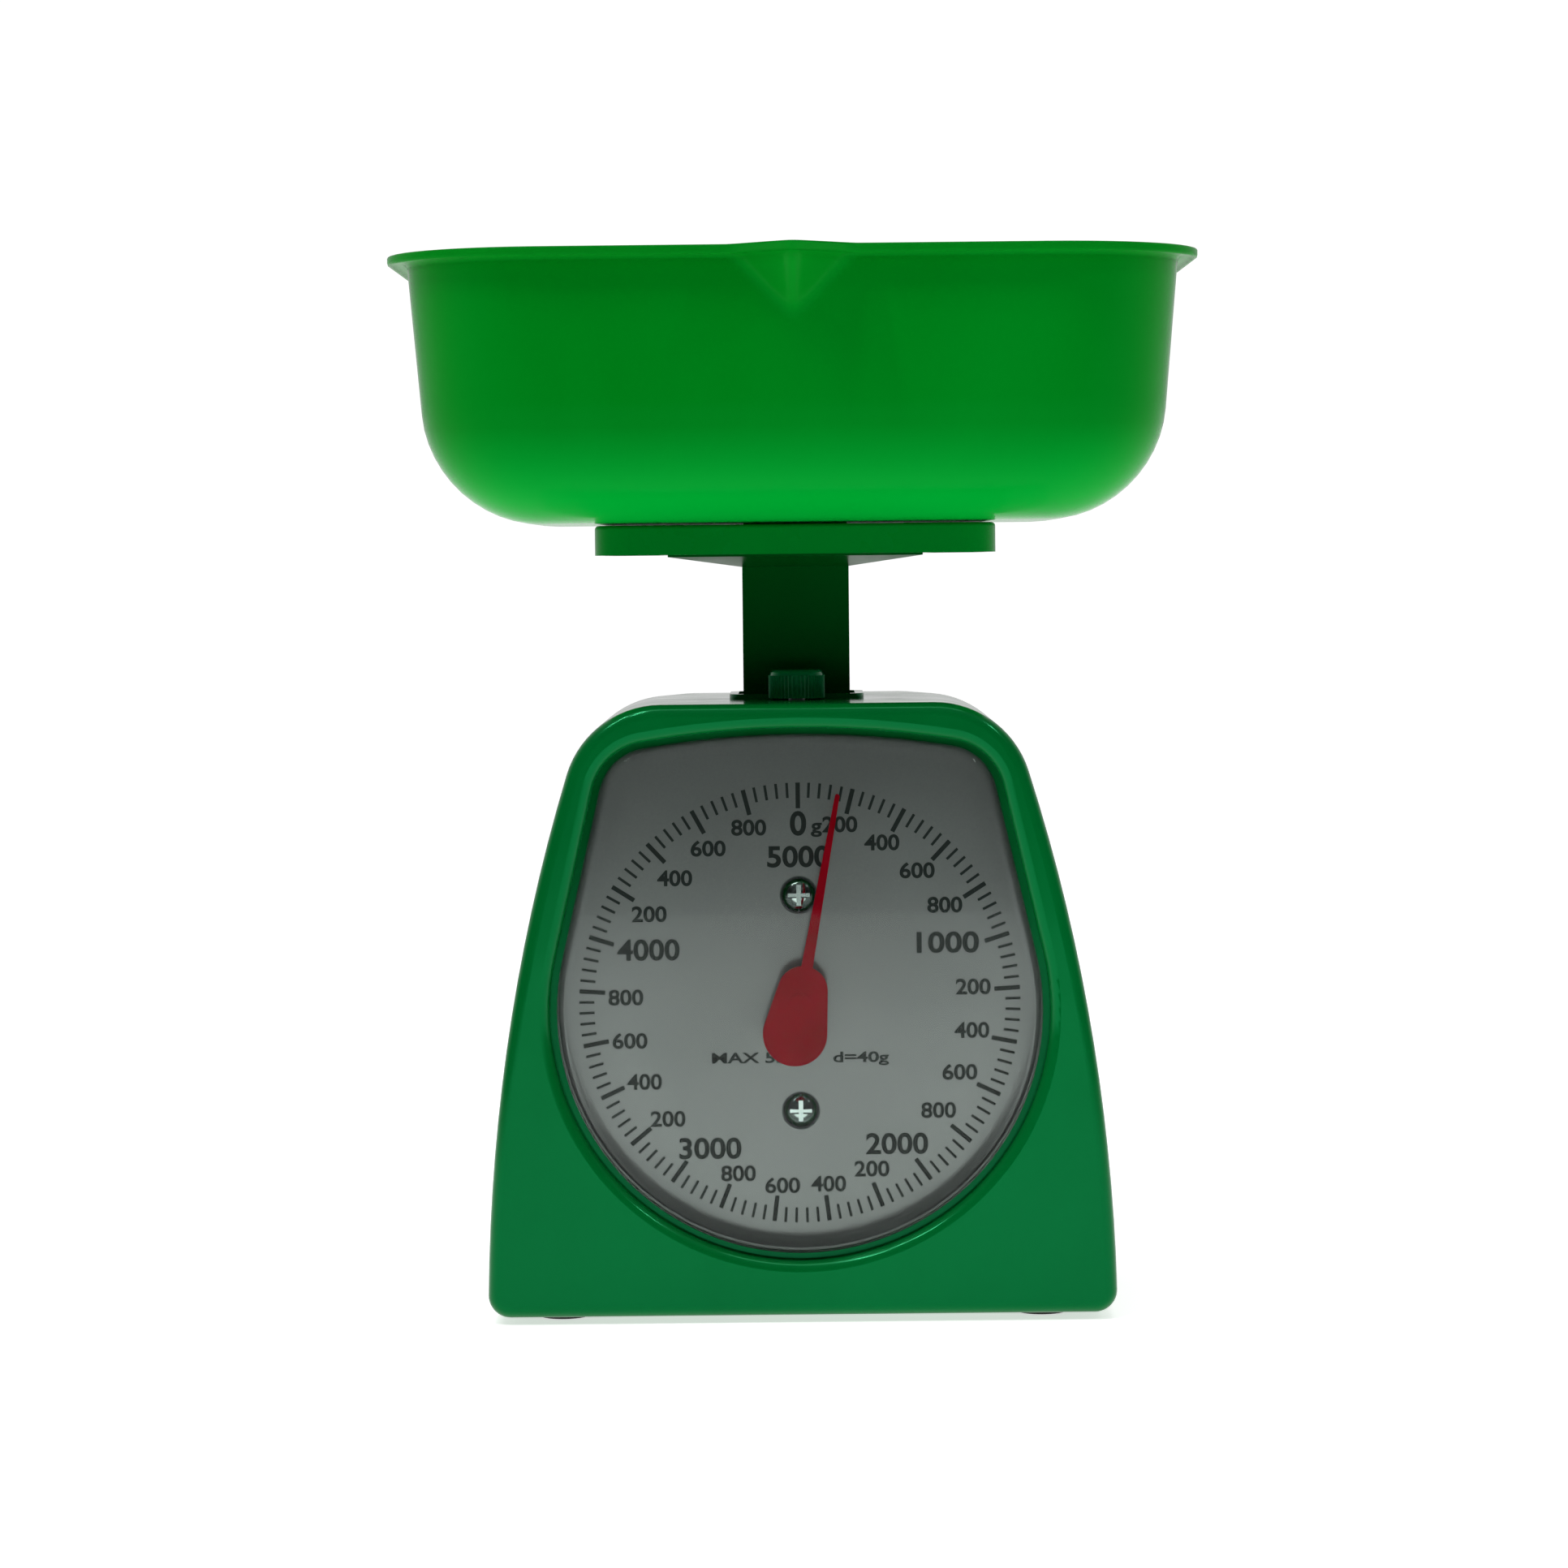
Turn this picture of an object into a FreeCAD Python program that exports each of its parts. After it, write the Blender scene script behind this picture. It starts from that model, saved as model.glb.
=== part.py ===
import FreeCAD, Part
import Sketcher
import math
import os
import re
from FreeCAD import Placement, Rotation, Vector

# Mechanical kitchen scale with a removable bowl.
# Frame: +Z up, the dial faces -Y, +X to the right of a person reading the dial.
# Origin: under the middle of the whole object, on the surface that it stands on.

# ---------------------------------------------------------------- driving sizes, mm and degrees
SIZES = {
    # housing
    "foot_height": 1.5,
    "housing_width": 141.0,
    "housing_height": 137.0,
    "front_y": -44.5,
    "seam_y": 30.5,
    "rear_y": 53.5,
    "wall": 2.2,
    "side_radius": 420.0,
    "top_corner_radius": 22.0,
    "top_flat_half": 30.5,
    "bottom_corner_radius": 5.0,
    "front_edge_radius": 2.8,
    "rear_narrowing": 7.0,
    "rear_edge_radius": 4.0,
    # window, lens and dial
    "window_radius": 54.4,
    "window_centre": 68.1,
    "window_top": 130.1,
    "window_lean": 13.0,
    "window_corner_radius": 12.0,
    "window_arch_radius": 206.0,
    "ledge_width": 1.4,
    "ledge_depth": 4.2,
    "rim_depth": 6.0,
    "rim_width": 4.5,
    "window_edge_radius": 2.4,
    "lens_setback": 1.3,
    "lens_thickness": 1.5,
    "lens_depth": 10.7,
    "lens_edge_radius": 2.0,
    "dial_y": -30.5,
    "dial_thickness": 0.6,
    "dial_screw_pitch": 24.4,
    "axis_height": 70.5,
    # column, platform and bowl
    "column_y": 5.5,
    "column_width": 24.5,
    "column_depth": 22.0,
    "column_bottom": 22.0,
    "platform_bottom": 171.8,
    "platform_height": 6.7,
    "platform_width": 90.5,
    "platform_depth": 76.0,
    "spigot_height": 0.4,
    "bowl_gap": 0.05,
    "bowl_height": 60.0,
    "bowl_rim_width": 181.4,
    "bowl_rim_depth": 142.4,
    "bowl_rim_corner": 35.2,
    "flange_width": 4.2,
    "flange_thickness": 1.6,
    "lip_height": 2.2,
    "lip_thickness": 1.4,
    "bowl_wall": 2.0,
    "bowl_draft": 5.2,
    "bowl_bottom_radius": 24.5,
    "spout_width": 25.0,
    "spout_drop": 12.5,
    "spout_reach": 11.0,
    # linkage: two equal links make a parallelogram, so the column stays upright
    "link_length": 50.0,
    "link_rise": 6.77,
    "link_pivot_y": 45.0,
    "upper_pivot": 108.0,
    "lower_pivot": 34.0,
    "pin_radius": 1.5,
    "running_clearance": 0.05,
    "arm_inside": 14.0,
    "arm_thickness": 1.5,
    "arm_height": 8.0,
    # mechanism frame of pressed steel
    "frame_half": 30.0,
    "sheet_metal": 1.5,
    "frame_top": 121.5,
    "frame_rear": 49.5,
    # springs and zero adjuster
    "adjuster_y": -13.2,
    "hanger_height": 98.0,
    "crossbar_height": 60.0,
    "rod_radius": 1.6,
    "spring_offset": 21.0,
    "spring_mean_radius": 4.0,
    "wire_radius": 0.55,
    "spring_turns": 14.5,
    "adjust_radius": 2.0,
    "knob_radius": 6.4,
    "knob_bottom": 138.9,
    "knob_height": 6.5,
    # rack, pinion and pointer
    "gear_module": 0.4,
    "pinion_teeth": 10.0,
    "shaft_radius": 0.75,
    "pinion_front": -18.4,
    "pinion_length": 5.0,
    "pointer_y": -40.6,
    "pointer_thickness": 1.2,
    "pointer_length": 48.4,
    "pointer_rest_angle": 10.6,
}

doc = FreeCAD.newDocument("kitchen_scale")
sheet = doc.addObject("Spreadsheet::Sheet", "Sizes")
for row, (alias, number) in enumerate(SIZES.items(), start=1):
    sheet.set(f"A{row}", alias)
    sheet.set(f"B{row}", str(number))
    sheet.setAlias(f"B{row}", alias)
doc.recompute()

SUB_PARTS = []


# ---------------------------------------------------------------- helpers
def linked(formula):
    """Write a formula of sheet aliases as an expression that FreeCAD can bind."""
    return re.sub(r"[a-z_]+", lambda word: "Sizes." + word[0] if word[0] in SIZES else word[0], str(formula))


def value(formula):
    """Number that a formula of sheet aliases gives now."""
    return float(sheet.evalExpression(linked(formula)))


def bind(thing, properties):
    for name, formula in properties.items():
        thing.setExpression(name, linked(formula))


def sub_part(thing, label):
    """Give an object the name of the piece that it is, and list it for export."""
    thing.Label = label
    SUB_PARTS.append(thing)
    return thing


def place(thing, x, y, z):
    bind(thing, {".Placement.Base.x": x, ".Placement.Base.y": y, ".Placement.Base.z": z})


def box(x, y, z, size_x, size_y, size_z):
    """Block from its low corner and its sizes, all formulas."""
    block = doc.addObject("Part::Box", "Block")
    bind(block, {"Length": size_x, "Width": size_y, "Height": size_z})
    place(block, x, y, z)
    return block


TURNS = {"X": Rotation(Vector(0, 1, 0), 90), "Y": Rotation(Vector(1, 0, 0), -90), "Z": Rotation()}


def rod(along, x, y, z, radius, length):
    """Round bar that starts at x, y, z and runs along +X, +Y or +Z."""
    bar = doc.addObject("Part::Cylinder", "Rod")
    bar.Placement = Placement(Vector(), TURNS[along])
    bind(bar, {"Radius": radius, "Height": length})
    place(bar, x, y, z)
    return bar


def fused(things):
    if len(things) == 1:
        return things[0]
    union = doc.addObject("Part::MultiFuse", "Fused")
    union.Shapes = things
    union.Refine = True
    return union


def cut(solid, tools):
    difference = doc.addObject("Part::Cut", "Cut")
    difference.Base = solid
    difference.Tool = fused(tools)
    difference.Refine = True
    return difference


def shaped(label, shape, position=Vector(), rotation=Rotation()):
    """Sub-part whose shape is worked out directly from the sheet's numbers."""
    feature = doc.addObject("Part::Feature", label)
    feature.Shape = shape
    feature.Placement = Placement(position, rotation)
    return sub_part(feature, label)


def new_body(label):
    return sub_part(doc.addObject("PartDesign::Body", label), label)


def sketch_on(body, role, shift, outlines, name):
    """Sketch on one of the body's own origin planes, moved along the plane's normal by a formula."""
    plane = next(item for item in body.Origin.OriginFeatures if item.Role == role)
    sketch = body.newObject("Sketcher::SketchObject", name)
    sketch.AttachmentSupport = [(plane, "")]
    sketch.MapMode = "FlatFace"
    bind(sketch, {".AttachmentOffset.Base.z": shift})
    for outline in outlines:
        draw(sketch, outline)
    return sketch


def draw(sketch, outline):
    """Add one closed outline; its stretches meet end to end."""
    first = sketch.GeometryCount
    for curve in outline:
        sketch.addGeometry(curve, False)
    count = len(outline)
    if count > 1:
        for step in range(count):
            following = first + (step + 1) % count
            sketch.addConstraint(Sketcher.Constraint("Coincident", first + step, 2, following, 1))


def circle(x, y, radius):
    return [Part.Circle(Vector(x, y, 0), Vector(0, 0, 1), radius)]


def line(start, end):
    return Part.LineSegment(Vector(start[0], start[1], 0), Vector(end[0], end[1], 0))


def arc(centre, radius, start, end):
    """Arc turned anticlockwise from angle start to angle end, in degrees."""
    ring = Part.Circle(Vector(centre[0], centre[1], 0), Vector(0, 0, 1), radius)
    return Part.ArcOfCircle(ring, math.radians(start), math.radians(end))


def polar(centre, radius, angle):
    turn = math.radians(angle)
    return (centre[0] + radius * math.cos(turn), centre[1] + radius * math.sin(turn))


def bearing_to(centre, point):
    """Direction from centre to point, in degrees."""
    return math.degrees(math.atan2(point[1] - centre[1], point[0] - centre[0]))


def rounded_rectangle(half_width, half_depth, radius, centre=(0.0, 0.0)):
    """Anticlockwise rectangle with round corners."""
    x, y = centre
    inner_x = half_width - radius
    inner_y = half_depth - radius
    corners = [(inner_x, -inner_y, -90), (inner_x, inner_y, 0), (-inner_x, inner_y, 90), (-inner_x, -inner_y, 180)]
    outline = []
    for index, (cx, cy, start) in enumerate(corners):
        outline.append(arc((x + cx, y + cy), radius, start, start + 90))
        next_x, next_y, next_start = corners[(index + 1) % 4]
        here = polar((x + cx, y + cy), radius, start + 90)
        there = polar((x + next_x, y + next_y), radius, next_start)
        outline.append(line(here, there))
    return outline


def mirrored_outline(right_side, top_line, bottom_line):
    """Close an outline that is the same left and right, from its right-hand arcs in order going up."""
    left_side = [arc((-c[0], c[1]), r, 180 - end, 180 - start) for c, r, start, end in reversed(right_side)]
    return [bottom_line] + [arc(*item) for item in right_side] + [top_line] + left_side


def pad(body, sketch, length, reverse=False):
    feature = body.newObject("PartDesign::Pad", "Pad")
    feature.Profile = sketch
    feature.Reversed = reverse
    bind(feature, {"Length": length})
    doc.recompute()
    return feature


def pocket(body, sketch, length, reverse=False):
    """Cut a sketch's shape out of the body; the volume has to fall."""
    before = body.Shape.Volume
    feature = body.newObject("PartDesign::Pocket", "Pocket")
    feature.Profile = sketch
    feature.Reversed = reverse
    bind(feature, {"Length": length})
    doc.recompute()
    if body.Shape.Volume > before - 0.01:
        raise RuntimeError(f"a pocket in {body.Label} cuts nothing")
    return feature


def loft(body, kind, sketches):
    feature = body.newObject(kind, "Loft")
    feature.Profile = sketches[0]
    feature.Sections = sketches[1:]
    feature.Ruled = True
    doc.recompute()
    return feature


def round_edges(body, radius, chosen):
    """Fillet every edge of the body's tip for which chosen(edge) holds."""
    tip = body.Tip
    names = [f"Edge{number}" for number, edge in enumerate(tip.Shape.Edges, start=1) if chosen(edge)]
    feature = body.newObject("PartDesign::Fillet", "Fillet")
    feature.Base = (tip, names)
    bind(feature, {"Radius": radius})
    doc.recompute()
    return feature


def lies_at(edge, **where):
    """True when the whole edge lies at the given x, y or z."""
    limits = edge.BoundBox
    spans = {"x": (limits.XMin, limits.XMax), "y": (limits.YMin, limits.YMax), "z": (limits.ZMin, limits.ZMax)}
    return all(abs(end - number) < 0.01 for axis, number in where.items() for end in spans[axis])


# ---------------------------------------------------------------- outlines of the housing and its window
HOUSING_BOTTOM = value("foot_height")
HOUSING_TOP = value("foot_height + housing_height")


def housing_outline(inset=0.0, narrowing=0.0):
    """Front view of the housing: leaning convex sides, round top corners, flat top and bottom."""
    side = value("side_radius")
    top_r = value("top_corner_radius")
    low_r = value("bottom_corner_radius")
    top_centre = (value("top_flat_half"), value("foot_height + housing_height - top_corner_radius"))
    foot_point = (value("housing_width / 2"), HOUSING_BOTTOM)
    # the side arc's centre is side from the foot point and side - top_r from the top corner's centre
    span_x = foot_point[0] - top_centre[0]
    span_z = foot_point[1] - top_centre[1]
    span = math.hypot(span_x, span_z)
    along = ((side - top_r) ** 2 - side ** 2 + span ** 2) / (2 * span)
    across = math.sqrt((side - top_r) ** 2 - along ** 2)
    side_centre = (
        top_centre[0] + (along * span_x + across * span_z) / span,
        top_centre[1] + (along * span_z - across * span_x) / span,
    )
    low_z = HOUSING_BOTTOM + low_r
    low_centre = (side_centre[0] + math.sqrt((side - low_r) ** 2 - (low_z - side_centre[1]) ** 2), low_z)
    low_turn = bearing_to(side_centre, low_centre)
    top_turn = bearing_to(side_centre, top_centre)
    right_side = [
        ((low_centre[0] - narrowing, low_centre[1]), low_r - inset, -90.0, low_turn),
        ((side_centre[0] - narrowing, side_centre[1]), side - inset, low_turn, top_turn),
        ((top_centre[0] - narrowing, top_centre[1]), top_r - inset, top_turn, 90.0),
    ]
    bottom_half = low_centre[0] - narrowing
    top_half = top_centre[0] - narrowing
    bottom = line((-bottom_half, HOUSING_BOTTOM + inset), (bottom_half, HOUSING_BOTTOM + inset))
    top = line((top_half, HOUSING_TOP - inset), (-top_half, HOUSING_TOP - inset))
    return mirrored_outline(right_side, top, bottom)


def window_outline(inset=0.0):
    """Round below, sides leaning in tangent to the circle, round top corners and an arched top."""
    radius = value("window_radius")
    lean = value("window_lean")
    corner = value("window_corner_radius")
    arch = value("window_arch_radius")
    centre = (0.0, value("foot_height + window_centre"))
    arch_centre = (0.0, value("foot_height + window_top - window_arch_radius"))
    normal = (math.cos(math.radians(lean)), math.sin(math.radians(lean)))
    base = polar(centre, radius - corner, lean)
    # the corner's centre is on the line through base that leans with the side, arch - corner from the arch's centre
    offset = (base[0] - arch_centre[0], base[1] - arch_centre[1])
    half = -offset[0] * normal[1] + offset[1] * normal[0]
    rise = -half + math.sqrt(half ** 2 - offset[0] ** 2 - offset[1] ** 2 + (arch - corner) ** 2)
    corner_centre = (base[0] - rise * normal[1], base[1] + rise * normal[0])
    arch_turn = bearing_to(arch_centre, corner_centre)
    side_low = polar(centre, radius - inset, lean)
    side_high = polar(corner_centre, corner - inset, lean)
    return [
        arc(centre, radius - inset, 180 - lean, 360 + lean),
        line(side_low, side_high),
        arc(corner_centre, corner - inset, lean, arch_turn),
        arc(arch_centre, arch - inset, arch_turn, 180 - arch_turn),
        arc((-corner_centre[0], corner_centre[1]), corner - inset, 180 - arch_turn, 180 - lean),
        line((-side_high[0], side_high[1]), (-side_low[0], side_low[1])),
    ]


# an XZ sketch's normal is -Y, so a sketch at y is shifted by -y
WALL = value("wall")
COVER_SCREWS = [(48.0, HOUSING_BOTTOM + 7.4), (30.0, HOUSING_TOP - 7.3)]
COVER_SCREW_SPOTS = [(side * x, z) for x, z in COVER_SCREWS for side in (-1, 1)]
FRAME_SCREW_SPOTS = [(side * 36.0, y) for y in (-14.0, 18.0) for side in (-1, 1)]
BOSS_RADIUS = 5.4
PILOT_RADIUS = 1.4


# ---------------------------------------------------------------- front housing
def front_housing():
    body = new_body("front_housing")
    outer = sketch_on(body, "XZ_Plane", "-front_y", [housing_outline()], "Outside")
    pad(body, outer, "seam_y - front_y", reverse=True)
    front_y = value("front_y")
    round_edges(body, "front_edge_radius", lambda edge: lies_at(edge, y=front_y))
    inner = sketch_on(body, "XZ_Plane", "-front_y - wall", [housing_outline(WALL)], "Inside")
    pocket(body, inner, "seam_y - front_y", reverse=False)
    rim_outlines = [window_outline(-value("rim_width")), window_outline(-value("ledge_width"))]
    rim = sketch_on(body, "XZ_Plane", "-front_y - 1", rim_outlines, "Window_rim")
    pad(body, rim, "rim_depth - 1", reverse=True)
    well = sketch_on(body, "XZ_Plane", "-front_y", [window_outline(-value("ledge_width"))], "Window_well")
    pocket(body, well, "ledge_depth", reverse=False)
    ledge_outlines = [window_outline(-value("ledge_width") - 0.5), window_outline()]
    ledge = sketch_on(body, "XZ_Plane", "-front_y - ledge_depth", ledge_outlines, "Window_ledge")
    pad(body, ledge, "rim_depth - ledge_depth", reverse=True)
    round_edges(body, "window_edge_radius", lambda edge: lies_at(edge, y=front_y) and within_window(edge))
    add_screw_bosses(body)
    add_column_slot(body)
    add_floor_holes(body)
    return body


def within_window(edge):
    limits = edge.BoundBox
    reach = value("window_radius + ledge_width + 1")
    low = value("foot_height + window_centre") - reach
    high = value("foot_height + window_top + ledge_width + 1")
    return limits.XMax < reach and limits.XMin > -reach and limits.ZMin > low and limits.ZMax < high


def add_screw_bosses(body):
    circles = [circle(x, z, BOSS_RADIUS) for x, z in COVER_SCREW_SPOTS]
    bosses = sketch_on(body, "XZ_Plane", "20", circles, "Screw_bosses")
    pad(body, bosses, "seam_y + 20", reverse=True)
    pilots = [circle(x, z, PILOT_RADIUS) for x, z in COVER_SCREW_SPOTS]
    holes = sketch_on(body, "XZ_Plane", "-seam_y + 15", pilots, "Screw_pilots")
    pocket(body, holes, "16", reverse=False)


def add_column_slot(body):
    centre = (0.0, value("column_y"))
    half_x = value("column_width / 2") + 1.2
    half_y = value("column_depth / 2") + 1.4
    collar_outlines = [
        rounded_rectangle(half_x + 2.0, half_y + 2.0, 4.0, centre),
        rounded_rectangle(half_x, half_y, 2.0, centre),
    ]
    collar = sketch_on(body, "XY_Plane", "foot_height + housing_height - 1", collar_outlines, "Slot_collar")
    pad(body, collar, "2.2")
    knob = circle(0.0, value("adjuster_y"), value("knob_radius") + 0.6)
    notch = sketch_on(body, "XY_Plane", "foot_height + housing_height + 5", [knob], "Knob_clearance")
    pocket(body, notch, "5")
    openings = [rounded_rectangle(half_x, half_y, 2.0, centre), circle(0.0, value("adjuster_y"), 3.4)]
    slot = sketch_on(body, "XY_Plane", "foot_height + housing_height + 5", openings, "Column_slot")
    pocket(body, slot, "10")


def add_floor_holes(body):
    circles = [circle(x, y, PILOT_RADIUS) for x, y in FRAME_SCREW_SPOTS]
    holes = sketch_on(body, "XY_Plane", "foot_height + wall + 1", circles, "Floor_holes")
    pocket(body, holes, "wall + 2")


# ---------------------------------------------------------------- rear cover
def rear_cover():
    body = new_body("rear_cover")
    narrowing = value("rear_narrowing")
    depth = value("rear_y - seam_y")
    radius = value("rear_edge_radius")
    levels = [(0.0, 0.0)]
    for step in range(7):
        turn = math.radians(15.0 * step)
        levels.append((depth - radius * (1 - math.sin(turn)), radius * (1 - math.cos(turn))))
    sketches = []
    for number, (back, inset) in enumerate(levels):
        outline = housing_outline(inset, narrowing * back / depth)
        sketches.append(sketch_on(body, "XZ_Plane", f"-seam_y - {back}", [outline], f"Level_{number}"))
    loft(body, "PartDesign::AdditiveLoft", sketches)
    front = sketch_on(body, "XZ_Plane", "-seam_y + 0.01", [housing_outline(WALL)], "Seam_inside")
    inside = [housing_outline(WALL, narrowing)]
    deep = sketch_on(body, "XZ_Plane", "-rear_y + wall", inside, "Back_inside")
    loft(body, "PartDesign::SubtractiveLoft", [front, deep])
    sleeves = [circle(x, z, BOSS_RADIUS - 0.4) for x, z in COVER_SCREW_SPOTS]
    posts = sketch_on(body, "XZ_Plane", "-seam_y", sleeves, "Screw_sleeves")
    pad(body, posts, "rear_y - seam_y - 1", reverse=True)
    shanks = [circle(x, z, PILOT_RADIUS) for x, z in COVER_SCREW_SPOTS]
    holes = sketch_on(body, "XZ_Plane", "-rear_y - 1", shanks, "Screw_holes")
    pocket(body, holes, "rear_y - seam_y + 2", reverse=True)
    heads = [circle(x, z, 3.4) for x, z in COVER_SCREW_SPOTS]
    recesses = sketch_on(body, "XZ_Plane", "-rear_y - 1", heads, "Screw_recesses")
    pocket(body, recesses, "7", reverse=True)
    return body


# ---------------------------------------------------------------- fasteners
def pan_screw(head_radius, head_height, shank_radius, shank_length):
    """Screw along +Z: head from z = 0 up, shank from z = 0 down, cross recess in the head."""
    crown = (head_radius ** 2 + head_height ** 2) / (2 * head_height)
    ball = Part.makeSphere(crown, Vector(0, 0, head_height - crown))
    head = ball.common(Part.makeCylinder(head_radius, head_height * 2))
    shank = Part.makeCylinder(shank_radius, shank_length, Vector(0, 0, -shank_length))
    screw = head.fuse(shank)
    slot_length = head_radius * 1.15
    slot_width = head_radius * 0.24
    depth = head_height * 0.62
    corner = Vector(-slot_length / 2, -slot_width / 2, head_height - depth)
    slot = Part.makeBox(slot_length, slot_width, head_height, corner)
    crossed = slot.copy()
    crossed.rotate(Vector(), Vector(0, 0, 1), 90)
    return screw.cut(slot.fuse(crossed)).removeSplitter()


def screw_group(label, screw, spots, rotation):
    """Identical screws share one node, each a solid of its own."""
    solids = []
    for spot in spots:
        piece = screw.copy()
        piece.Placement = Placement(Vector(*spot), rotation)
        solids.append(piece.Solids[0] if piece.Solids else piece)
    return shaped(label, Part.makeCompound(solids))


TO_FRONT = Rotation(Vector(1, 0, 0), 90)
TO_REAR = Rotation(Vector(1, 0, 0), -90)
TO_FLOOR = Rotation(Vector(1, 0, 0), 180)


def fasteners():
    axis = value("axis_height")
    pitch = value("dial_screw_pitch")
    dial_spots = [(0.0, value("dial_y"), axis + step) for step in (-pitch, pitch)]
    screw_group("dial_screws", pan_screw(4.3, 2.4, 1.6, 4.5), dial_spots, TO_FRONT)
    rear_spots = [(x, value("rear_y") - 6.0, z) for x, z in COVER_SCREW_SPOTS]
    screw_group("rear_cover_screws", pan_screw(3.2, 2.0, PILOT_RADIUS, 27.0), rear_spots, TO_REAR)
    frame_spots = [(x, y, HOUSING_BOTTOM) for x, y in FRAME_SCREW_SPOTS]
    screw_group("frame_screws", pan_screw(3.0, 1.1, PILOT_RADIUS, 5.0), frame_spots, TO_FLOOR)
    platform_spots = [(side * 7.5, value("column_y"), value("platform_bottom") + 3.0) for side in (-1, 1)]
    screw_group("platform_screws", pan_screw(3.0, 2.0, PILOT_RADIUS, 9.5), platform_spots, Rotation())
    rack_spots = [(5.4, RACK_FRONT, axis + step) for step in (-2.0, 15.0)]
    screw_group("rack_screws", pan_screw(1.5, 0.9, 0.7, 7.0), rack_spots, TO_FRONT)
    bridge_spots = [(side * 10.5, BRIDGE_FRONT + value("sheet_metal"), axis) for side in (-1, 1)]
    screw_group("bridge_screws", pan_screw(2.2, 1.2, 1.1, 6.0), bridge_spots, TO_REAR)


# ---------------------------------------------------------------- feet, lens and dial
FOOT_SPOTS = [(side * 54.0, y) for y in (-30.0, 26.0) for side in (-1, 1)]


def rubber_feet():
    """Four discs with a rounded lower edge, stuck under the floor."""
    feet = []
    for x, y in FOOT_SPOTS:
        disc = Part.makeCylinder(6.0, value("foot_height"), Vector(x, y, 0))
        edges = [edge for edge in disc.Edges if lies_at(edge, z=0.0)]
        feet.append(disc.makeFillet(0.6, edges))
    return shaped("rubber_feet", Part.makeCompound(feet))


def dial_lens():
    body = new_body("dial_lens")
    gap = 0.1
    setback = "-front_y - lens_setback"
    outside = sketch_on(body, "XZ_Plane", setback, [window_outline(gap)], "Lens_outside")
    pad(body, outside, "lens_depth", reverse=True)
    front = value("front_y + lens_setback")
    round_edges(body, "lens_edge_radius", lambda edge: lies_at(edge, y=front))
    thickness = value("lens_thickness")
    hollow = [window_outline(gap + thickness)]
    inside = sketch_on(body, "XZ_Plane", setback + " - lens_thickness", hollow, "Lens_inside")
    pocket(body, inside, "lens_depth")
    flange_outlines = [window_outline(-2.4), window_outline(gap + 0.4)]
    flange = sketch_on(body, "XZ_Plane", "-front_y - rim_depth", flange_outlines, "Lens_flange")
    pad(body, flange, "1.3", reverse=True)
    return body


def dial_plate():
    body = new_body("dial_plate")
    axis = value("axis_height")
    pitch = value("dial_screw_pitch")
    holes = [circle(0.0, axis, 3.1), circle(0.0, axis - pitch, 1.6), circle(0.0, axis + pitch, 1.6)]
    plate = sketch_on(body, "XZ_Plane", "-dial_y", [window_outline(-2.2)] + holes, "Dial_outline")
    pad(body, plate, "dial_thickness", reverse=True)
    return body


# ---------------------------------------------------------------- mechanism frame and what is fixed to it
FRAME_FRONT = value("dial_y + dial_thickness")
FLOOR_TOP = HOUSING_BOTTOM + WALL
BRIDGE_FRONT = -20.5
RACK_FRONT = -17.8


def mechanism_frame():
    """Pressed steel frame: front plate, two side cheeks, base plate with feet, and a top shelf."""
    metal = "sheet_metal"
    front = "dial_y + dial_thickness"
    floor = "foot_height + wall"
    height = f"frame_top - {floor}"
    parts = [box("-frame_half", front, floor, "2 * frame_half", metal, height)]
    for edge in ("-frame_half", "frame_half - sheet_metal"):
        parts.append(box(edge, front, floor, metal, f"frame_rear - ({front})", height))
    parts.append(box(-42, front, floor, 84, 52, metal))
    parts.append(box("-frame_half", front, "frame_top - sheet_metal", "2 * frame_half", f"-9.8 - ({front})", metal))
    tools = [rod("Y", 0, -35, "axis_height", 3.0, 10)]
    for sign in ("-", "+"):
        tools.append(rod("Y", 0, -35, f"axis_height {sign} dial_screw_pitch", 1.6, 10))
    for height in ("upper_pivot", "lower_pivot"):
        tools.append(rod("X", -40, "link_pivot_y", height, "pin_radius", 80))
    slot_half = value("rod_radius") + 0.15
    tools.append(box(-40, f"adjuster_y - {slot_half}", "hanger_height - 3.6", 80, 2 * slot_half, 7.2))
    tools.append(rod("Z", 0, "adjuster_y", 110, "adjust_radius + 0.1", 20))
    tools.append(box(-40, 0, 52, 80, 34, 42))
    for x, y in FRAME_SCREW_SPOTS:
        tools.append(rod("Z", x, y, 0, PILOT_RADIUS, 10))
    return sub_part(cut(fused(parts), tools), "mechanism_frame")


def bearing_bridge():
    """Small plate on two pillars that carries the inner end of the pointer shaft."""
    front = "dial_y + dial_thickness + sheet_metal"
    parts = [box(-13.5, BRIDGE_FRONT, "axis_height - 6", 27, "sheet_metal", 12)]
    for side in (-1, 1):
        parts.append(rod("Y", side * 10.5, front, "axis_height", 2.6, f"{BRIDGE_FRONT} - ({front})"))
    tools = [rod("Y", 0, -30, "axis_height", 2.2, 20)]
    for side in (-1, 1):
        tools.append(rod("Y", side * 10.5, -25.5, "axis_height", 1.1, 10))
    return sub_part(cut(fused(parts), tools), "bearing_bridge")


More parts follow.
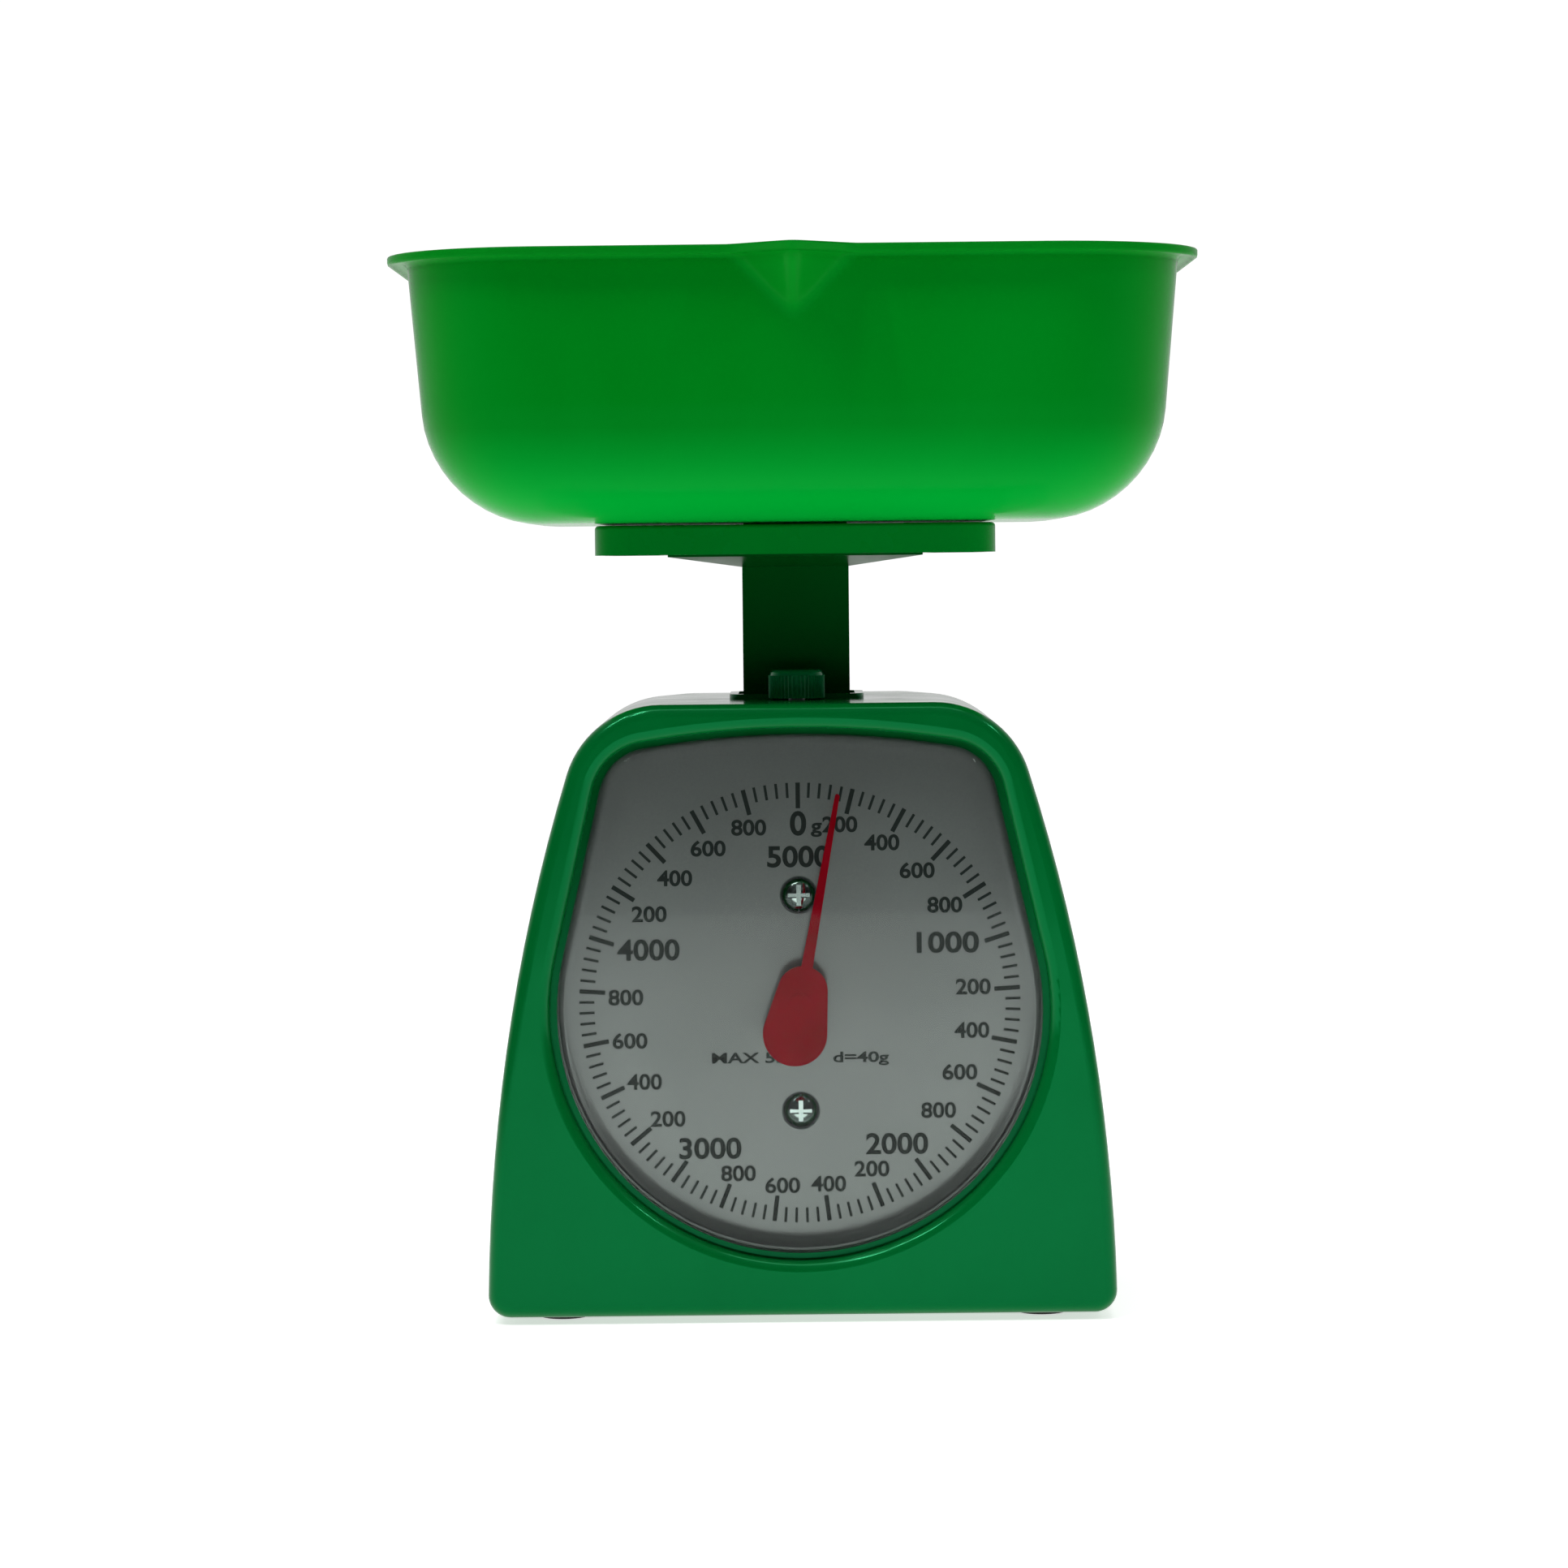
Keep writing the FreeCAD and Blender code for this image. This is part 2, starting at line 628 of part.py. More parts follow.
def shaft_bushes():
    """Brass bushes in the frame's front plate and in the bridge."""
    axis = value("axis_height")
    bore = value("shaft_radius + running_clearance")
    forward = Vector(0, 1, 0)
    places = [(3.0, FRAME_FRONT - 0.5, 3.2), (2.2, BRIDGE_FRONT - 0.6, 2.4)]
    bushes = []
    for radius, start, length in places:
        bush = Part.makeCylinder(radius, length, Vector(0, start, axis), forward)
        hole = Part.makeCylinder(bore, length + 2, Vector(0, start - 1, axis), forward)
        bushes.append(bush.cut(hole))
    return shaped("shaft_bushes", Part.makeCompound(bushes))


def overload_stop():
    """Rubber block under the column that it meets past full load."""
    block = box(-9, "column_y - 8", "foot_height + wall + sheet_metal", 18, 16, 3.4)
    return sub_part(block, "overload_stop")


def link_pin(label, x_half, y, z):
    """Plain pin across the linkage."""
    pin = rod("X", -x_half, y, z, "pin_radius", 2 * x_half)
    return sub_part(pin, label)


# ---------------------------------------------------------------- linkage
REST_Y = "link_pivot_y - link_length * cos(link_rise * 1deg)"
RISE = "link_length * sin(link_rise * 1deg)"


def link(label, pivot_height):
    """Two side arms joined by a web, made level about its rear pivot and then raised to its rest angle."""
    length = value("link_length")
    arm_h = value("arm_height")
    inside = value("arm_inside")
    thick = value("arm_thickness")
    hole = value("pin_radius + running_clearance")
    solids = []
    for start in (inside, -inside - thick):
        arm = Part.makeBox(thick, length, arm_h, Vector(start, -length, -arm_h / 2))
        for y in (0.0, -length):
            arm = arm.fuse(Part.makeCylinder(arm_h / 2, thick, Vector(start, y, 0), Vector(1, 0, 0)))
        solids.append(arm)
    web = Part.makeBox(2 * (inside + thick), 18.0, thick, Vector(-inside - thick, -24.0, arm_h / 2 - thick))
    shape = solids[0].fuse(solids[1]).fuse(web)
    for y in (0.0, -length):
        shape = shape.cut(Part.makeCylinder(hole, 80, Vector(-40, y, 0), Vector(1, 0, 0)))
    spot = Vector(0, value("link_pivot_y"), value(pivot_height))
    return shaped(label, shape.removeSplitter(), spot, Rotation(Vector(1, 0, 0), -value("link_rise")))


# ---------------------------------------------------------------- column, platform, bowl
def column():
    """Hollow post with pivot lugs, a rack holder and a flared head under the platform."""
    half_x = "column_width / 2"
    front = "column_y - column_depth / 2"
    parts = [
        box(f"-{half_x}", front, "column_bottom", "column_width", "column_depth", "platform_bottom - column_bottom"),
        box(-7, "adjuster_y - 2.6", "crossbar_height - 3.4", 14, 12, 6.8),
        box(3.1, RACK_FRONT + 4.0, "axis_height - 6", 5.4, 12, 25.5),
    ]
    for height in ("upper_pivot", "lower_pivot"):
        z = f"{height} + {RISE}"
        parts.append(box(f"-{half_x}", f"{REST_Y} - 3.9", f"{z} - 4.5", "column_width", 8, 9))
    tools = [
        box(f"-{half_x} + 2.4", f"{front} + 2.4", "column_bottom - 1", "column_width - 4.8", "column_depth - 4.8",
            "platform_bottom - column_bottom - 11"),
        rod("X", -30, "adjuster_y", "crossbar_height", "rod_radius", 60),
    ]
    for height in ("upper_pivot", "lower_pivot"):
        tools.append(rod("X", -30, REST_Y, f"{height} + {RISE}", "pin_radius", 60))
    for side in (-1, 1):
        tools.append(rod("Z", side * 7.5, "column_y", "platform_bottom - 6.5", PILOT_RADIUS, 10))
    for step in (-2.0, 15.0):
        tools.append(rod("Y", 5.4, RACK_FRONT, f"axis_height + {step}", 0.7, 7))
    head = doc.addObject("Part::Feature", "Flared_head")
    top = value("platform_bottom")
    levels = [(top - 2.9, value(half_x), 11.0), (top - 0.5, 29.0, 24.0), (top, 29.0, 24.0)]
    wires = [rectangle_wire(half_width, half_depth, z) for z, half_width, half_depth in levels]
    head.Shape = Part.makeLoft(wires, True, True)
    return sub_part(cut(fused(parts + [head]), tools), "column")


def rectangle_wire(half_width, half_depth, z):
    y = value("column_y")
    corners = [(-1, -1), (1, -1), (1, 1), (-1, 1), (-1, -1)]
    return Part.makePolygon([Vector(a * half_width, y + b * half_depth, z) for a, b in corners])


def platform():
    body = new_body("platform")
    half_x = value("platform_width / 2")
    half_y = value("platform_depth / 2")
    centre = (0.0, value("column_y"))
    outside = [rounded_rectangle(half_x, half_y, 8.0, centre)]
    plate = sketch_on(body, "XY_Plane", "platform_bottom", outside, "Plate")
    pad(body, plate, "platform_height")
    top = value("platform_bottom + platform_height")
    round_edges(body, "0.9", lambda edge: lies_at(edge, z=top))
    spigot = sketch_on(body, "XY_Plane", "platform_bottom + platform_height - 0.5",
                       [rounded_rectangle(12.0, 10.5, 1.5, centre)], "Spigot")
    pad(body, spigot, "spigot_height + 0.5")
    hollow = [rounded_rectangle(half_x - 2.0, half_y - 2.0, 6.0, centre), rounded_rectangle(31.0, 26.0, 3.0, centre)]
    under = sketch_on(body, "XY_Plane", "platform_bottom - 1", hollow, "Underside")
    pocket(body, under, "platform_height - 1.2", reverse=True)
    screws = [circle(side * 7.5, value("column_y"), PILOT_RADIUS) for side in (-1, 1)]
    holes = sketch_on(body, "XY_Plane", "platform_bottom - 1", screws, "Screw_holes")
    pocket(body, holes, "platform_height + 3", reverse=True)
    heads = [circle(side * 7.5, value("column_y"), 3.4) for side in (-1, 1)]
    recesses = sketch_on(body, "XY_Plane", "platform_bottom + 3", heads, "Screw_recesses")
    pocket(body, recesses, "platform_height", reverse=True)
    return body


BOWL_BOTTOM = "platform_bottom + platform_height + spigot_height + bowl_gap"


def bowl():
    body = new_body("bowl")
    top = f"{BOWL_BOTTOM} + bowl_height"
    add_bowl_wall(body, "PartDesign::AdditiveLoft", 0.0)
    flange = sketch_on(body, "XY_Plane", f"{top} - flange_thickness", [bowl_ring(-value("flange_width"))], "Flange")
    pad(body, flange, "flange_thickness")
    lip_rings = [bowl_ring(-value("flange_width")), bowl_ring(value("lip_thickness - flange_width"))]
    lip = sketch_on(body, "XY_Plane", f"{top} - lip_height", lip_rings, "Lip")
    pad(body, lip, "lip_height")
    add_spout(body, top, "PartDesign::AdditiveLoft", 0.0)
    add_bowl_wall(body, "PartDesign::SubtractiveLoft", value("bowl_wall"))
    add_spout(body, top, "PartDesign::SubtractiveLoft", value("bowl_wall"))
    return body


def bowl_ring(inset):
    """Level outline of the bowl, offset inwards from the outside of its mouth."""
    half_x = value("bowl_rim_width / 2 - flange_width")
    half_y = value("bowl_rim_depth / 2 - flange_width")
    corner = value("bowl_rim_corner - flange_width")
    return rounded_rectangle(half_x - inset, half_y - inset, corner - inset, (0.0, value("column_y")))


def add_bowl_wall(body, kind, inset):
    """Stack of level outlines: a quarter round from the floor up, then a straight wall that leans out."""
    radius = value("bowl_bottom_radius") - inset
    height = value("bowl_height")
    overrun = 0.01 if inset else 0.0
    levels = []
    steps = 8
    for step in range(steps + 1):
        turn = math.radians(90.0 * step / steps)
        rise = inset + radius * (1 - math.cos(turn))
        levels.append((rise, radius * (1 - math.sin(turn))))
    levels.append((height + overrun, 0.0))
    sketches = []
    for number, (rise, drawn_in) in enumerate(levels):
        lean = value("bowl_draft") * (1 - min(rise, height) / height)
        outline = bowl_ring(inset + lean + drawn_in)
        sketches.append(sketch_on(body, "XY_Plane", f"{BOWL_BOTTOM} + {rise}", [outline], f"Level_{number}"))
    loft(body, kind, sketches)


def add_spout(body, top, kind, inset):
    """Half-cone lip in the front wall: wide at the rim and closing to nothing below it."""
    rim_front = value("column_y - bowl_rim_depth / 2")
    tip = rim_front - value("spout_reach") + inset
    root = rim_front + value("flange_width") + (4.5 if inset else 1.0)
    half = value("spout_width / 2") + 3.0 - inset
    drop = value("spout_drop") - inset

    def section(scale):
        nose_y = root + (tip - root) * scale
        radius = half * scale * 0.34
        centre = (0.0, nose_y + radius)
        left = (-half * scale, root)
        right = (half * scale, root)
        nose_left = polar(centre, radius, 212)
        nose_right = polar(centre, radius, 328)
        return [line(left, nose_left), arc(centre, radius, 212, 328), line(nose_right, right), line(right, left)]

    overrun = 0.02 if inset else 0.0
    upper = sketch_on(body, "XY_Plane", f"{top} + {overrun}", [section(1.0)], "Spout_mouth")
    lower = sketch_on(body, "XY_Plane", f"{top} - {drop}", [section(0.16)], "Spout_root")
    loft(body, kind, [upper, lower])


# ---------------------------------------------------------------- rack, pinion and pointer
def pinion():
    """Small brass gear; a tooth points along +X at rest, in the rack's gap."""
    module = value("gear_module")
    teeth = int(value("pinion_teeth"))
    pitch_r = module * teeth / 2
    tip_r = pitch_r + module * 0.85
    root_r = pitch_r - module * 1.2
    step = 360.0 / teeth
    corners = []
    for tooth in range(teeth):
        middle = tooth * step
        for turn, radius in ((-0.27, root_r), (-0.19, pitch_r), (-0.09, tip_r), (0.09, tip_r), (0.19, pitch_r),
                             (0.27, root_r)):
            x, z = polar((0.0, 0.0), radius, middle + turn * step)
            corners.append(Vector(x, 0, z))
    face = Part.Face(Part.makePolygon(corners + corners[:1]))
    gear = face.extrude(Vector(0, value("pinion_length"), 0))
    bore = Part.makeCylinder(value("shaft_radius"), 20, Vector(0, -5, 0), Vector(0, 1, 0))
    gear = gear.cut(bore)
    return shaped("pinion", gear, Vector(0, value("pinion_front"), value("axis_height")))


def rack():
    """Brass rack whose teeth face -X and stand beside the pinion."""
    module = value("gear_module")
    pitch = math.pi * module
    pitch_x = module * value("pinion_teeth") / 2
    tip_x = pitch_x - module * 0.85
    root_x = pitch_x + module * 1.25
    low = value("axis_height") - 5.5
    gaps = range(-4, 15)
    outline = [(root_x, low - 0.4)]
    for gap in gaps:
        centre = value("axis_height") + (gap + 0.5) * pitch
        outline += [(root_x, centre - 0.27 * pitch), (pitch_x, centre - 0.19 * pitch), (tip_x, centre - 0.09 * pitch),
                    (tip_x, centre + 0.09 * pitch), (pitch_x, centre + 0.19 * pitch),
                    (root_x, centre + 0.27 * pitch)]
    high = value("axis_height") + 19.0
    outline += [(root_x, high), (8.2, high), (8.2, low - 0.4), outline[0]]
    face = Part.Face(Part.makePolygon([Vector(x, 0, z) for x, z in outline]))
    bar = face.extrude(Vector(0, 4.0, 0))
    for step in (-2.0, 15.0):
        spot = Vector(5.4, -1, value("axis_height") + step)
        bar = bar.cut(Part.makeCylinder(0.7, 10, spot, Vector(0, 1, 0)))
    return shaped("rack", bar, Vector(0, RACK_FRONT, 0))


def pointer():
    """Flat tapered needle with a weighted tail, turned to its rest angle about the shaft."""
    body = new_body("pointer")
    length = value("pointer_length")
    upper_centre = (0.0, 3.6)
    lower_centre = (0.0, -6.2)
    upper_r = 5.6
    lower_r = 7.2
    neck_half = 1.3
    tip_half = 0.5
    gap = upper_centre[1] - lower_centre[1]
    lean = math.degrees(math.asin((lower_r - upper_r) / gap))
    neck_turn = math.degrees(math.acos(neck_half / upper_r))
    neck = polar(upper_centre, upper_r, neck_turn)
    right_low = polar(lower_centre, lower_r, lean)
    right_high = polar(upper_centre, upper_r, lean)
    tip = (tip_half, length - tip_half)
    outline = [
        arc(lower_centre, lower_r, 180 - lean, 360 + lean),
        line(right_low, right_high),
        arc(upper_centre, upper_r, lean, neck_turn),
        line(neck, tip),
        arc((0.0, tip[1]), tip_half, 0, 180),
        line((-tip[0], tip[1]), (-neck[0], neck[1])),
        arc(upper_centre, upper_r, 180 - neck_turn, 180 - lean),
        line((-right_high[0], right_high[1]), (-right_low[0], right_low[1])),
    ]
    needle = sketch_on(body, "XZ_Plane", "-pointer_y", [outline], "Needle")
    pad(body, needle, "pointer_thickness", reverse=True)
    hub = sketch_on(body, "XZ_Plane", "-pointer_y", [circle(0.0, 0.0, 2.9)], "Hub")
    pad(body, hub, "3.4", reverse=True)
    cap = sketch_on(body, "XZ_Plane", "-pointer_y + 0.6", [circle(0.0, 0.0, 2.9)], "Hub_cap")
    pad(body, cap, "1.2", reverse=True)
    bore = sketch_on(body, "XZ_Plane", "-pointer_y - 10", [circle(0.0, 0.0, value("shaft_radius"))], "Bore")
    pocket(body, bore, "10", reverse=True)
    turned = Rotation(Vector(0, 1, 0), value("pointer_rest_angle"))
    body.Placement = Placement(Vector(0, 0, value("axis_height")), turned)
    return body


def pointer_shaft():
    shaft = rod("Y", 0, "pointer_y", "axis_height", "shaft_radius", "pinion_front + pinion_length + 0.3 - pointer_y")
    return sub_part(shaft, "pointer_shaft")


# ---------------------------------------------------------------- springs and zero adjuster
def main_spring(label, side):
    """Extension spring between the hanger rod and the column's crossbar, with a half hook at each end."""
    mean = value("spring_mean_radius")
    wire = value("wire_radius")
    reach = mean - value("rod_radius") - 0.05
    low = value("crossbar_height") + reach
    high = value("hanger_height") - reach
    turns = value("spring_turns")
    helix = Part.makeHelix((high - low) / turns, high - low, mean)
    profile = Part.Wire(Part.makeCircle(wire, Vector(mean, 0, 0), Vector(0, 1, 0)))
    solids = [Part.Wire(helix.Edges).makePipeShell([profile], True, True)]
    # each hook is half a ring that starts on the coil's last turn and passes round the rod
    for z, turn in ((-wire, 180), (high - low + wire, -180)):
        section = Part.Face(Part.Wire(Part.makeCircle(wire, Vector(mean, 0, z), Vector(0, 0, 1))))
        solids.append(section.revolve(Vector(0, 0, z), Vector(0, 1, 0), turn))
    for solid in solids:
        solid.rotate(Vector(), Vector(0, 0, 1), 90)
    return shaped(label, Part.makeCompound(solids), Vector(side * value("spring_offset"), value("adjuster_y"), low))


def spring_hanger():
    """Cross rod with a threaded block that rides on the adjusting screw."""
    parts = [
        rod("X", -31.5, "adjuster_y", "hanger_height", "rod_radius", 63),
        box(-5, "adjuster_y - 3.4", "hanger_height - 3", 10, 6.8, 6),
    ]
    thread = rod("Z", 0, "adjuster_y", "hanger_height - 10", "adjust_radius + running_clearance", 20)
    return sub_part(cut(fused(parts), [thread]), "spring_hanger")


def spring_crossbar():
    return sub_part(rod("X", -24.5, "adjuster_y", "crossbar_height", "rod_radius", 49), "spring_crossbar")


def adjust_screw():
    """Screw that hangs from the frame's top shelf by its collar."""
    parts = [
        rod("Z", 0, "adjuster_y", 92.5, "adjust_radius", "knob_bottom + knob_height - 1.5 - 92.5"),
        rod("Z", 0, "adjuster_y", "frame_top + running_clearance", 3.6, 1.6),
    ]
    return sub_part(fused(parts), "adjust_screw")


def zero_knob():
    """Fluted knob with a rounded top edge, pressed on the adjusting screw."""
    radius = value("knob_radius")
    height = value("knob_height")
    flutes = 44
    depth = 0.28
    rim = []
    for step in range(2 * flutes):
        x, y = polar((0.0, 0.0), radius - depth * (step % 2), step * 180.0 / flutes)
        rim.append(Vector(x, y, 0))
    crown_height = 1.3
    fluted = Part.Face(Part.makePolygon(rim + rim[:1])).extrude(Vector(0, 0, height - crown_height))
    crown = Part.makeCylinder(radius - depth, height)
    crown = crown.makeFillet(crown_height - 0.1, [edge for edge in crown.Edges if lies_at(edge, z=height)])
    bore = Part.makeCylinder(value("adjust_radius"), height - 1.5)
    knob = fluted.fuse(crown).cut(bore)
    return shaped("zero_knob", knob, Vector(0, value("adjuster_y"), value("knob_bottom")))


# ---------------------------------------------------------------- build, check and write
def build():
    front_housing()
    rear_cover()
    fasteners()
    rubber_feet()
    dial_lens()
    dial_plate()
    mechanism_frame()
    bearing_bridge()
    shaft_bushes()
    overload_stop()
    link_pin("upper_rear_pin", 31.5, "link_pivot_y", "upper_pivot")
    link_pin("lower_rear_pin", 31.5, "link_pivot_y", "lower_pivot")
    link_pin("upper_front_pin", 17.0, REST_Y, f"upper_pivot + {RISE}")
    link_pin("lower_front_pin", 17.0, REST_Y, f"lower_pivot + {RISE}")
    link("upper_link", "upper_pivot")
    link("lower_link", "lower_pivot")
    column()
    platform()
    bowl()
    rack()
    pinion()
    pointer_shaft()
    pointer()
    spring_crossbar()
    spring_hanger()
    main_spring("left_spring", -1)
    main_spring("right_spring", 1)
    adjust_screw()
    zero_knob()


def check_and_write():
    doc.recompute()
    for thing in doc.Objects:
        if "Invalid" in thing.State or "Error" in thing.State:
            raise RuntimeError(f"{thing.Name} ({thing.Label}) failed to build: {thing.State}")
    os.makedirs("parts", exist_ok=True)
    for thing in SUB_PARTS:
        if thing.Shape.isNull() or not thing.Shape.isValid():
            raise RuntimeError(f"{thing.Label} has no valid shape")
    for thing in SUB_PARTS:
        thing.Shape.exportStep(f"parts/{thing.Label}.step")
        print(thing.Label, len(thing.Shape.Solids), round(thing.Shape.Volume, 1))


build()
check_and_write()
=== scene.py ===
import math

import bmesh
import bpy
from mathutils import Matrix, Vector


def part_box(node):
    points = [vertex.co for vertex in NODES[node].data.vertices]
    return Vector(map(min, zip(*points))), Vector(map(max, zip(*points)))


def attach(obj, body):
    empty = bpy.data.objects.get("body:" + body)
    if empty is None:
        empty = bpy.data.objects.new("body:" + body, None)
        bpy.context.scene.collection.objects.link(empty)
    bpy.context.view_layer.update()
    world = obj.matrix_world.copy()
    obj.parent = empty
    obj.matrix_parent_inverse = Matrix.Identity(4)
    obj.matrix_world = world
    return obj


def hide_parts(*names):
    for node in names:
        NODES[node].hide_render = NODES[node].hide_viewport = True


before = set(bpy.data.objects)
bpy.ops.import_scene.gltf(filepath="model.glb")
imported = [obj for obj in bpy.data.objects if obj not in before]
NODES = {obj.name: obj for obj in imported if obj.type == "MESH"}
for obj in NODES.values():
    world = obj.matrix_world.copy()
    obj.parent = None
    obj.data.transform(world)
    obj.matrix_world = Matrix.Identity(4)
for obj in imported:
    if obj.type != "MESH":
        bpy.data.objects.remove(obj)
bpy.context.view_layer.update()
MM = 0.001


# ---------------------------------------------------------------- shader helpers
def linear(red, green, blue, alpha=1.0):
    """Colour for a shader from screen values of 0 to 255."""
    def channel(level):
        level = level / 255.0
        return level / 12.92 if level <= 0.04045 else ((level + 0.055) / 1.055) ** 2.4
    return (channel(red), channel(green), channel(blue), alpha)


def set_range(node, start, end, low, high):
    """Make a map-range node turn start to end into low to high."""
    for name, number in (("From Min", start), ("From Max", end), ("To Min", low), ("To Max", high)):
        node.inputs[name].default_value = number


class Shader:
    """A material with one Principled shader and short ways to feed it."""

    def __init__(self, name):
        self.material = bpy.data.materials.new(name)
        self.material.use_nodes = True
        self.tree = self.material.node_tree
        self.surface = self.tree.nodes["Principled BSDF"]
        self.output = self.tree.nodes["Material Output"]
        self.place = self.tree.nodes.new("ShaderNodeTexCoord")

    def set(self, **values):
        """Set inputs of the surface shader; an underscore stands for a space."""
        for name, number in values.items():
            self.surface.inputs[name.replace("_", " ")].default_value = number
        return self

    def link(self, start, end):
        self.tree.links.new(start, end)

    def noise(self, scale, detail=4.0, roughness=0.55, stretch=(1.0, 1.0, 1.0), distortion=0.0):
        """Noise over the object's own space; scale counts features per metre."""
        mapping = self.tree.nodes.new("ShaderNodeMapping")
        mapping.inputs["Scale"].default_value = stretch
        self.link(self.place.outputs["Object"], mapping.inputs["Vector"])
        node = self.tree.nodes.new("ShaderNodeTexNoise")
        node.inputs["Scale"].default_value = scale
        node.inputs["Detail"].default_value = detail
        node.inputs["Roughness"].default_value = roughness
        node.inputs["Distortion"].default_value = distortion
        self.link(mapping.outputs["Vector"], node.inputs["Vector"])
        return node.outputs["Fac"]

    def ramp(self, source, stops):
        """Turn the source into colours by a list of positions and colours."""
        node = self.tree.nodes.new("ShaderNodeValToRGB")
        elements = node.color_ramp.elements
        while len(elements) < len(stops):
            elements.new(0.5)
        for element, (position, colour) in zip(elements, stops):
            element.position = position
            element.color = colour
        self.link(source, node.inputs["Fac"])
        return node.outputs["Color"]

    def spread(self, source, low, high, start=0.3, end=0.7):
        """Map the source's start to end onto low to high."""
        node = self.tree.nodes.new("ShaderNodeMapRange")
        set_range(node, start, end, low, high)
        self.link(source, node.inputs["Value"])
        return node.outputs["Result"]

    def blend_colour(self, factor, one, other):
        """Blend two colours by a factor; each may be a socket or a constant."""
        node = self.tree.nodes.new("ShaderNodeMix")
        node.data_type = "RGBA"
        for name, source in (("Factor", factor), ("A", one), ("B", other)):
            self.feed(node.inputs[name], source)
        return next(item for item in node.outputs if item.type == "RGBA")

    def feed(self, socket, source):
        if isinstance(source, bpy.types.NodeSocket):
            self.link(source, socket)
        else:
            socket.default_value = source

    def mix_surface(self, share, one, other):
        """Send a mix of two shader outputs to the material's surface; share is the part of the second."""
        mix = self.tree.nodes.new("ShaderNodeMixShader")
        self.link(share, mix.inputs[0])
        self.link(one, mix.inputs[1])
        self.link(other, mix.inputs[2])
        self.link(mix.outputs["Shader"], self.output.inputs["Surface"])

    def bump(self, height, strength, distance):
        node = self.tree.nodes.new("ShaderNodeBump")
        node.inputs["Strength"].default_value = strength
        node.inputs["Distance"].default_value = distance
        self.link(height, node.inputs["Height"])
        self.link(node.outputs["Normal"], self.surface.inputs["Normal"])

    def colour(self, source):
        self.link(source, self.surface.inputs["Base Color"])

    def roughness(self, source):
        self.link(source, self.surface.inputs["Roughness"])


# ---------------------------------------------------------------- materials
GREEN_SHEEN = (0.07, 1.0, 0.42, 1.0)


def moulded_plastic(name, deep, light, gloss=0.16, wave=0.22, index=1.5):
    """Glossy injection moulding: faint flow marks, dust-dulled patches and a very shallow ripple."""
    shader = Shader(name)
    flow = shader.noise(14.0, 3.0, 0.5, stretch=(1.0, 1.0, 0.35), distortion=0.6)
    shader.colour(shader.ramp(flow, [(0.32, deep), (0.68, light)]))
    dulling = shader.noise(55.0, 6.0, 0.62)
    shader.roughness(shader.spread(dulling, gloss - 0.04, gloss + 0.07))
    ripple = shader.noise(38.0, 2.0, 0.4)
    shader.bump(ripple, wave, 0.0004)
    shader.set(IOR=index, Specular_Tint=GREEN_SHEEN)
    return shader.material


def bowl_plastic():
    """Bright green moulding with a painted reflection of the white table: the base colour turns paler low
    on its wall; its thin flange lets most light through.
    """
    painted_glow_from, painted_glow_to = 21 * MM, 5 * MM
    flange_from, flange_to = 4 * MM, 1.5 * MM
    wall_through, flange_through = 0.14, 0.5
    shader = Shader("bowl_green")
    height = shader.tree.nodes.new("ShaderNodeSeparateXYZ")
    shader.link(shader.place.outputs["Object"], height.inputs["Vector"])
    low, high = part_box("bowl")
    # Painted reflection: a mask over the lowest 21 mm of the bowl that pales the base colour, standing in
    # for light from the white table below.
    painted_table_glow = shader.spread(height.outputs["Z"], 1.0, 0.0, low.z + painted_glow_to, low.z + painted_glow_from)
    thin = shader.spread(height.outputs["Z"], 0.0, 1.0, high.z - flange_from, high.z - flange_to)
    flow = shader.noise(9.0, 3.0, 0.5, stretch=(1.0, 1.0, 0.5), distortion=0.8)
    wall = shader.ramp(flow, [(0.3, linear(0, 136, 26)), (0.7, linear(0, 149, 34))])
    # The paler green is the painted table reflection, at full strength up to 5 mm above the bottom.
    shader.colour(shader.blend_colour(painted_table_glow, wall, linear(0, 172, 52)))
    dulling = shader.noise(60.0, 6.0, 0.62)
    shader.roughness(shader.spread(dulling, 0.1, 0.2))
    shader.bump(shader.noise(30.0, 2.0, 0.4), 0.2, 0.0004)
    shader.set(IOR=1.16, Specular_Tint=GREEN_SHEEN)
    through = shader.tree.nodes.new("ShaderNodeBsdfTranslucent")
    tint = shader.blend_colour(thin, linear(0, 170, 45), linear(80, 200, 106))
    shader.link(tint, through.inputs["Color"])
    share = shader.spread(thin, wall_through, flange_through, 0.0, 1.0)
    shader.mix_surface(share, shader.surface.outputs["BSDF"], through.outputs["BSDF"])
    return shader.material


def clear_plastic():
    """Clear moulding: light passes straight through; its scratched surface reflects at low angles."""
    shader = Shader("clear_plastic")
    shader.set(Base_Color=linear(250, 252, 251), Metallic=1.0)
    scratches = shader.noise(900.0, 2.0, 0.5, stretch=(1.0, 1.0, 0.05))
    shader.roughness(shader.spread(scratches, 0.02, 0.06, 0.45, 0.75))
    shader.bump(shader.noise(24.0, 1.0, 0.4), 0.05, 0.0002)
    clear = shader.tree.nodes.new("ShaderNodeBsdfTransparent")
    clear.inputs["Color"].default_value = linear(244, 250, 247)
    mirror = shader.tree.nodes.new("ShaderNodeFresnel")
    mirror.inputs["IOR"].default_value = 1.49
    share = shader.spread(mirror.outputs["Fac"], 0.008, 0.95, 0.04, 0.5)
    shader.mix_surface(share, clear.outputs["BSDF"], shader.surface.outputs["BSDF"])
    return shader.material


